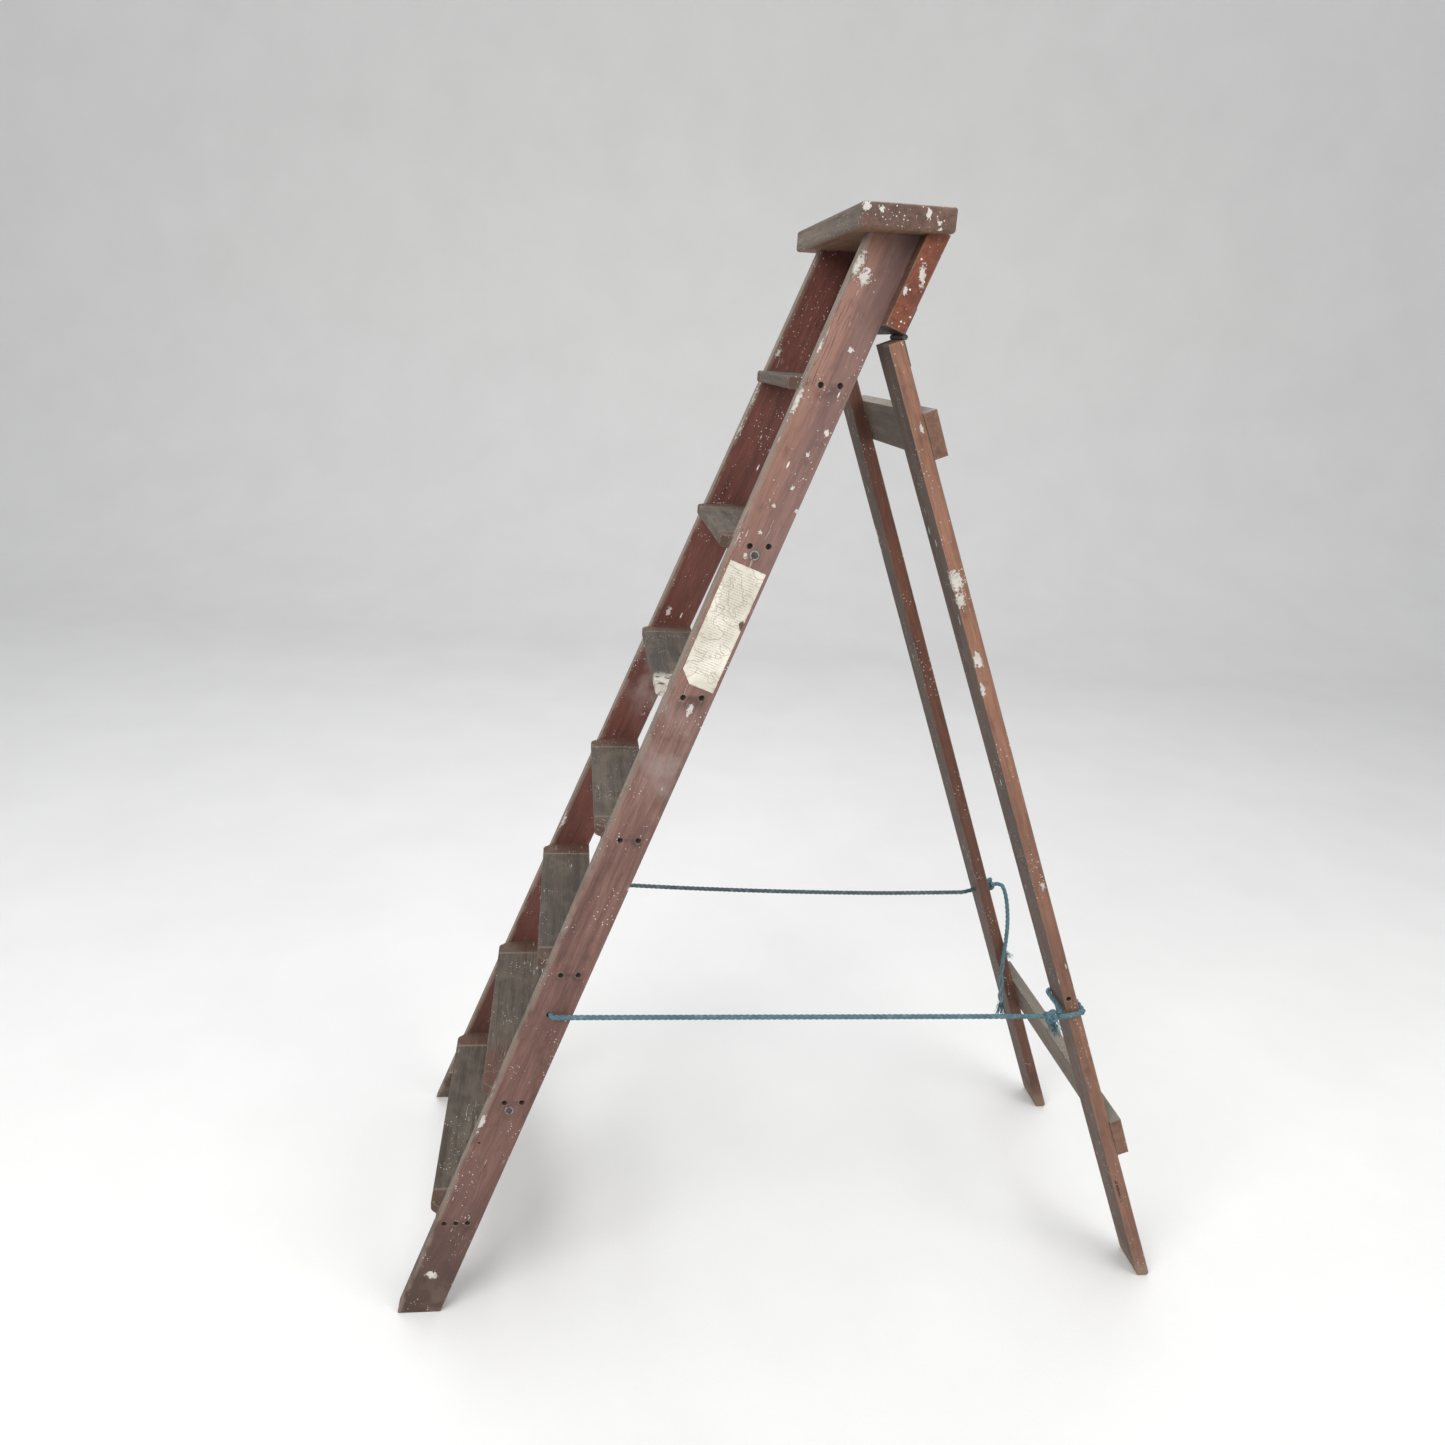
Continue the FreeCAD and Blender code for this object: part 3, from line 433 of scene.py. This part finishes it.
def leg_details(g, colour, x, y, z, nx, ny, nz, share):
    low = g.noise(g.place, 26.0, 5.0)
    colour = g.mix(z.step(1.3, 0.2) * 0.4, colour, srgb(92, 66, 54))
    split = spots(g, [((0.258, 0.589, 0.192), 0.0035, 12.0)], -LEG_LEAN)
    colour = g.mix(split * 0.85, colour, srgb(30, 20, 15))
    return g.mix((z + (low - 0.5) * 0.05).step(0.06, 0.0) * 0.6, colour, srgb(140, 120, 100))


for side, name in ((1, "right_rear_leg"), (-1, "left_rear_leg")):
    marks = [((side * 0.211, 0.151, 1.282), 0.017, 1.6), ((side * 0.212, 0.163, 1.255), 0.012, 1.5),
        ((side * 0.216, 0.201, 1.164), 0.009, 2.5), ((side * 0.218, 0.215, 1.117), 0.007, 2.5),
        ((side * 0.202, 0.075, 1.50), 0.004, 3.0), ((side * 0.231, 0.36, 0.79), 0.006, 1.5)]
    wear([name], timber("rear leg timber", -LEG_LEAN, LEG_FACES, marks, seed=20.0 + side, splatter=0.8, extra=leg_details))
for name, top in (("upper_cross_rail", srgb(168, 160, 148)), ("lower_cross_rail", srgb(132, 124, 112))):
    wear([name], timber("cross rail timber", 0.0, {
        "side": (srgb(92, 62, 48), srgb(134, 98, 78)),
        "front": (srgb(74, 62, 52), srgb(120, 106, 92)),
        "back": (srgb(80, 70, 60), srgb(126, 114, 100)),
        "top": (tuple(v * 0.6 for v in top), top),
    }, [((0.02, 0.112, 1.50), 0.005, 0.8)], seed=30.0 + top[0], along="X"))
zinc = steel("dull grey steel", (0.42, 0.41, 0.40), srgb(60, 46, 38))
rusty = steel("dark rusted steel", (0.10, 0.09, 0.08), srgb(58, 36, 26), 0.6, 0.55)
wear(["lower_tie_rod", "upper_tie_rod"], rusty)
wear(["tie_rod_washers"], zinc)
wear([n for n in frame["nodes"] if "screws" in n or "hinge_fixed" in n or "hinge_moving" in n or "leaf" in n or "pin" in n], rusty)
wear(["paper_label"], paper_material())
ROPE = rope_material("faded blue rope", srgb(98, 134, 144), srgb(34, 60, 72))
# A darker, greyer copy of the rope colours for the far rope: painted shade.
SHADE_DARKENED_ROPE = rope_material("blue rope in painted shade", srgb(92, 108, 112), srgb(34, 48, 54))


# Ropes


def corners_to_route(points, bends):
    """Control points that keep a rope straight between bends: two extra beside each tight corner."""
    route = [points[0]]
    for i, bend in enumerate(bends):
        a, b, c = points[i], points[i + 1], points[i + 2]
        for near, want in ((a, True), (None, None), (c, True)):
            if near is None:
                route.append(b)
            elif bend and 2 * bend < 0.45 * (near - b).length:
                route.append(b + (near - b).normalized() * 2 * bend)
    return route + [points[-1]]


def rope_line(name, route, count):
    """Points along a smooth curve through the route: a clamped quadratic NURBS, read back evenly spaced."""
    curve = bpy.data.curves.new(name + " line", "CURVE")
    curve.dimensions = "3D"
    spline = curve.splines.new("NURBS")
    spline.points.add(len(route) - 1)
    for point, at in zip(spline.points, route):
        point.co = (*at, 1.0)
    spline.order_u = 3
    spline.use_endpoint_u = True
    spline.resolution_u = 24
    holder = bpy.data.objects.new(name + " line", curve)
    bpy.context.scene.collection.objects.link(holder)
    mesh = bpy.data.meshes.new_from_object(holder)
    raw = np.array([v.co for v in mesh.vertices])
    bpy.data.objects.remove(holder)
    bpy.data.meshes.remove(mesh)
    return evenly(raw, count)


def evenly(points, count):
    """The same line with count points at equal steps along it."""
    run = np.concatenate([[0], np.cumsum(np.linalg.norm(np.diff(points, axis=0), axis=1))])
    at = np.linspace(0, run[-1], count)
    return np.stack([np.interp(at, run, points[:, k]) for k in range(3)], axis=1)


def frames_along(path):
    """Tangent, normal and second normal at each point, turned as little as possible from one to the next."""
    tangent = np.gradient(path, axis=0)
    tangent /= np.linalg.norm(tangent, axis=1)[:, None]
    start = np.cross(tangent[0], [0.31, 0.11, 0.94])
    normals = [start / np.linalg.norm(start)]
    for t in tangent[1:]:
        n = normals[-1] - t * np.dot(normals[-1], t)
        normals.append(n / np.linalg.norm(n))
    normal = np.array(normals)
    return tangent, normal, np.cross(tangent, normal)


def tube_grid(path, radius, sides=10):
    """A tube's points: at each path point a ring, at angle a the point is path + r (cos a N + sin a B).
    The ends close onto the path in four shrinking rings."""
    tangent, normal, second = frames_along(path)
    radius = np.broadcast_to(np.asarray(radius, float), (len(path),)).copy()
    ease = np.minimum(1, np.sqrt(np.maximum(0, 1 - (1 - np.arange(len(path)) / 3.0).clip(0) ** 2)))
    radius = radius * np.maximum(ease, 0.02) * np.maximum(ease[::-1], 0.02)
    angle = np.linspace(0, 2 * np.pi, sides, endpoint=False)
    ring = np.cos(angle)[None, :, None] * normal[:, None] + np.sin(angle)[None, :, None] * second[:, None]
    return path[:, None] + radius[:, None, None] * ring


def strands(path, count=3, pitch=0.030, offset=0.0021, radius=0.0022, phase=0.0):
    """Paths of a laid rope's strands: strand k is path + offset (cos q N + sin q B), q = 2 pi s / pitch + k/count turn."""
    tangent, normal, second = frames_along(path)
    run = np.concatenate([[0], np.cumsum(np.linalg.norm(np.diff(path, axis=0), axis=1))])
    found = []
    for k in range(count):
        turn = (2 * np.pi * run / pitch + 2 * np.pi * k / count + phase)[:, None]
        found.append(path + offset * (np.cos(turn) * normal + np.sin(turn) * second))
    return found


def mesh_of_tubes(name, paths, radii, sides=10):
    """One mesh from several tubes; UV is the distance along in metres and the turn round each tube."""
    points, faces, uvs, base = [], [], [], 0
    for path, radius in zip(paths, radii):
        grid = tube_grid(path, radius, sides)
        rows, cols = grid.shape[:2]
        index = np.arange(rows * cols).reshape(rows, cols) + base
        nxt = np.roll(index, -1, axis=1)
        quads = np.stack([index[:-1], nxt[:-1], nxt[1:], index[1:]], axis=-1).reshape(-1, 4)
        run = np.concatenate([[0], np.cumsum(np.linalg.norm(np.diff(path, axis=0), axis=1))])
        u0, u1 = np.repeat(run[:-1], cols), np.repeat(run[1:], cols)
        v0 = np.tile(np.arange(cols) / cols, rows - 1)
        v1 = v0 + 1 / cols
        uvs.append(np.stack([u0, v0, u0, v1, u1, v1, u1, v0], axis=1).reshape(-1, 2))
        points.append(grid.reshape(-1, 3))
        faces += quads.tolist()
        for end, order in ((index[0], -1), (index[-1], 1)):
            faces.append(end[::order].tolist())
            uvs.append(np.zeros((cols, 2)))
        base += rows * cols
    mesh = bpy.data.meshes.new(name)
    mesh.from_pydata(np.concatenate(points).tolist(), [], faces)
    layer = mesh.uv_layers.new(name="UVMap")
    layer.data.foreach_set("uv", np.concatenate(uvs).astype(np.float32).ravel())
    mesh.polygons.foreach_set("use_smooth", [True] * len(mesh.polygons))
    piece = bpy.data.objects.new(name, mesh)
    bpy.context.scene.collection.objects.link(piece)
    mesh.materials.append(ROPE)
    return piece


def laid_rope(name, path, **options):
    lines = strands(path, **options)
    return mesh_of_tubes(name, lines, [0.0022] * len(lines))


def knot(name, centre, along, size, body, nodes):
    """A drawn-up overhand knot: a trefoil whose tube is the rope. With t from 0 to 2 pi, across it is
    sin t + 2 sin 2t and cos t - 2 cos 2t, and along it sin 3t."""
    t = np.linspace(0, 2 * np.pi, 150)
    across = np.stack([np.sin(t) + 2 * np.sin(2 * t), np.cos(t) - 2 * np.cos(2 * t)], 1) / 3.0
    axis = np.array(along) / np.linalg.norm(along)
    first = np.cross(axis, [0.2, 0.3, 0.93])
    first /= np.linalg.norm(first)
    other = np.cross(axis, first)
    path = np.array(centre) + size * (across[:, :1] * first + across[:, 1:] * other) + 0.0062 * np.sin(3 * t)[:, None] * axis
    lines = strands(path, pitch=0.026)
    piece = mesh_of_tubes(name, lines, [0.0023] * 3)
    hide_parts(*nodes)
    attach(piece, body)
    return piece


def fluff(name, root, along, count, length, body, spread, seed):
    """Loose yarns: each leaves the root, droops and curls; heights and curls come from a seeded generator."""
    rng = np.random.default_rng(seed)
    paths = []
    for _ in range(count):
        away = rng.normal(size=3)
        away = away / np.linalg.norm(away) * spread + np.array(along)
        away /= np.linalg.norm(away)
        reach = length * rng.uniform(0.4, 1.0)
        t = np.linspace(0, 1, 14)[:, None]
        curl = rng.normal(size=3) * reach * 0.18
        wave = np.sin(t * rng.uniform(3, 8)) * rng.normal(size=3) * reach * 0.07
        paths.append(np.array(root) + rng.normal(size=3) * 0.0022 + away * reach * t + curl * t**2 + wave + np.array([0, 0, -0.35 * reach]) * t**2)
    piece = mesh_of_tubes(name, paths, [0.00032] * count, sides=5)
    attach(piece, body)
    return piece


def centre_of(node):
    low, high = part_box(node)
    return np.array([(a + b) / 2 for a, b in zip(low, high)])


def V(*values):
    return Vector(values)


OUTWARD = V(1, 0, STILE_TAPER).normalized()
PIN = V(0, *frame["joints"][0]["pos_m"][1:])
LEG_BACK = V(0, math.cos(LEG_LEAN), math.sin(LEG_LEAN))
LEG_DOWN = V(0, math.sin(LEG_LEAN), -math.cos(LEG_LEAN))
NOOSE = V(0, math.cos(math.radians(12)), math.sin(math.radians(12)))
hole_z = 0.5645
mouth = V(STILE_HALF - STILE_TAPER * hole_z, FRONT_Y + hole_z * math.tan(STILE_LEAN) + 0.033 / math.cos(STILE_LEAN), hole_z)
on_leg = lambda down, back, x: V(x, PIN.y, PIN.z) + LEG_DOWN * down + LEG_BACK * back
knot_z = on_leg(1.133, -0.0534, 0).z
noose_centre = on_leg(1.133, -0.0534, 0.266 - 0.0433 * knot_z - 0.001)

corner = mouth + OUTWARD * 0.008
ahead = (noose_centre - corner).normalized()
right_points = [mouth - OUTWARD * 0.027, corner, noose_centre - ahead * 0.0108]
right_route = corners_to_route(right_points, [0.008])
right_path = rope_line("right rope", right_route, 560)
right_rope = laid_rope("right_rope_stay", right_path)
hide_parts("right_rope")

slope = math.cos(LEG_LEAN - math.radians(12))
front_t, rear_t = 0.0225 / slope, 0.0555 / slope
outer, inner = noose_centre.x + 0.0065, 0.266 - 0.0433 * (knot_z + 0.015) - 0.066 - 0.0055
loop = [V(x, noose_centre.y + NOOSE.y * t, noose_centre.z + NOOSE.z * t) for x, t in (
    (outer, 0.0105), (outer, rear_t), (inner, rear_t), (inner, front_t), (outer - 0.011, front_t), (outer - 0.011, 0.0105))]
noose_path = rope_line("noose", corners_to_route(loop, [0.008] * 4), 190)
noose = laid_rope("noose_rope", noose_path)
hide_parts("right_rope_noose")
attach(noose, "rear_frame")

left_start = V(-mouth.x, mouth.y, mouth.z)
inward = V(OUTWARD.x, 0, -OUTWARD.z)
left_corner = left_start + inward * 0.035
hole = lambda back: on_leg(1.1455, back, -0.209)
left_points = [left_start, left_corner, V(-0.209, left_corner.y + 0.312, left_corner.z - 0.018),
    V(-0.209, left_corner.y + 0.632, left_corner.z - 0.0265), hole(-0.0474), hole(-0.0257)]
left_path = rope_line("left rope", corners_to_route(left_points, [0.008, 0, 0, 0.0098]), 590)
left_rope = laid_rope("left_rope_stay", left_path)
# The far rope takes the darker copy of the rope colours: painted shade.
left_rope.data.materials[0] = SHADE_DARKENED_ROPE
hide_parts("left_rope")

behind = hole(-0.0034 + 0.018)
tail_points = [hole(-0.0254), hole(-0.0034 + 0.033)] + [V(x, behind.y + b, behind.z + u) for x, b, u in (
    (-0.196, 0.027, -0.019), (-0.176, 0.0315, -0.072), (-0.172, 0.0325, -0.132), (-0.1715, 0.0325, -0.190), (-0.170, 0.0425, -0.266))]
tail_path = rope_line("tail", tail_points, 230)
laid = 0.72
whole = strands(tail_path[: int(230 * laid)])
loose_path = tail_path[int(230 * laid) - 2:]
opening = np.linspace(0, 1, len(loose_path))[:, None]
lead = strands(loose_path, 2, pitch=0.075, offset=0.0022, phase=0.6)
parted = [loose_path + (line - loose_path) * (1 + opening * 1.1) for line in lead]
tail = mesh_of_tubes("tail_rope", whole + parted, [0.0022] * 3 + [0.0021] * 2)
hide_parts("left_rope_tail")
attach(tail, "rear_frame")

right_knot = knot("right_rope_stopper_knot", centre_of("right_rope_stile_knot"), OUTWARD, 0.0072, "front_frame", ["right_rope_stile_knot"])
left_knot = knot("left_rope_stopper_knot", centre_of("left_rope_stile_knot"), inward, 0.0072, "front_frame", ["left_rope_stile_knot"])
noose_knot = knot("noose_knot", noose_centre, NOOSE, 0.0088, "rear_frame", ["right_rope_noose_knot"])
tail_knot = knot("tail_knot", centre_of("left_rope_leg_knot"), LEG_BACK, 0.0098, "rear_frame", ["left_rope_leg_knot"])
frayed = fluff("frayed_yarns_at_the_noose", noose_centre + V(0.006, 0.002, -0.006), (0.75, 0.1, -0.65), 80, 0.024, "rear_frame", 0.6, 4)
frayed_end = fluff("frayed_yarns_at_the_tails_end", tail_path[-2], (0, 0.2, -1), 70, 0.032, "rear_frame", 0.35, 9)
frayed_stub = fluff("frayed_stub_on_the_tail", tail_path[int(230 * 0.62)], (0.2, 0.9, -0.5), 40, 0.018, "rear_frame", 0.5, 2)

for piece, path in ((right_rope, right_path), (left_rope, left_path)):
    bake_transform(piece)


def path_length(path):
    return float(np.linalg.norm(np.diff(path, axis=0), axis=1).sum())


# Studio

low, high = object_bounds()
g = Graph("pale floor")
mottle = g.noise(g.place, 3.0, 6.0)
floor_look = g.finish(g.mix(mottle, srgb(220, 219, 217), srgb(231, 230, 228)), 0.75 + mottle * 0.1, g.noise(g.place, 220.0), 0.0004)
t = np.linspace(0, 1, 60)
rise = np.clip((t - 0.55) / 0.45, 0, 1)
angle = rise * math.pi / 2
flat = np.minimum(t / 0.55, 1) * 8 - 4
profile = np.stack([flat + np.sin(angle) * 2.0, (1 - np.cos(angle)) * 2.0 + np.clip(rise - 0.98, 0, 1) * 100], 1)
across = np.linspace(-9, 9, 40)
turn = math.radians(83.2)
out = np.array([-math.sin(turn), math.cos(turn)])
side = np.array([out[1], -out[0]])
xy = profile[:, None, :1] * out + across[None, :, None] * side
grid = np.concatenate([xy, np.broadcast_to(profile[:, None, 1:] - 0.0005, xy.shape[:2] + (1,))], axis=2)
rows, cols = grid.shape[:2]
index = np.arange(rows * cols).reshape(rows, cols)
quads = np.stack([index[:-1, :-1], index[:-1, 1:], index[1:, 1:], index[1:, :-1]], -1).reshape(-1, 4)
mesh = bpy.data.meshes.new("backdrop")
mesh.from_pydata(grid.reshape(-1, 3).tolist(), [], quads.tolist())
mesh.polygons.foreach_set("use_smooth", [True] * len(mesh.polygons))
mesh.materials.append(floor_look)
backdrop = bpy.data.objects.new("backdrop", mesh)
bpy.context.scene.collection.objects.link(backdrop)


def area_light(name, at, target, size, power, colour=(1, 1, 1)):
    data = bpy.data.lights.new(name, "AREA")
    data.size, data.energy, data.color = size, power, colour
    lamp = bpy.data.objects.new(name, data)
    lamp.location = at
    lamp.rotation_euler = (Vector(target) - Vector(at)).to_track_quat("-Z", "Y").to_euler()
    bpy.context.scene.collection.objects.link(lamp)


area_light("key", (2.6, -2.6, 3.6), (0, 0, 0.8), 2.6, 125)
area_light("fill", (2.4, 2.6, 2.6), (0, 0, 0.9), 2.8, 62, (1.0, 0.98, 0.95))
area_light("top", (-0.8, 0.0, 4.2), (0, 0, 0.8), 3.0, 75, (0.96, 0.98, 1.0))
world = bpy.data.worlds.new("studio")
world.use_nodes = True
world.node_tree.nodes["Background"].inputs["Color"].default_value = (0.95, 0.97, 1.0, 1)
world.node_tree.nodes["Background"].inputs["Strength"].default_value = 0.6
bpy.context.scene.world = world

eye = V(1.7297, FRONT_Y + 0.2648, 1.5929)
yaw, pitch, roll = math.radians(83.22), math.radians(-18.18), math.radians(3.35)
forward = V(-math.sin(yaw) * math.cos(pitch), math.cos(yaw) * math.cos(pitch), math.sin(pitch))
level = V(math.cos(yaw), math.sin(yaw), 0)
upright = level.cross(forward)
right = level * math.cos(roll) + upright * math.sin(roll)
up = upright * math.cos(roll) - level * math.sin(roll)
data = bpy.data.cameras.new("camera")
data.lens, data.sensor_width = 26.80, 36.0
data.shift_x, data.shift_y = 0.0240, -0.0163
camera = bpy.data.objects.new("camera", data)
camera.matrix_world = Matrix(((right.x, up.x, -forward.x, eye.x), (right.y, up.y, -forward.y, eye.y),
    (right.z, up.z, -forward.z, eye.z), (0, 0, 0, 1)))
bpy.context.scene.collection.objects.link(camera)
bpy.context.scene.camera = camera
bpy.context.scene.view_settings.view_transform = "Standard"
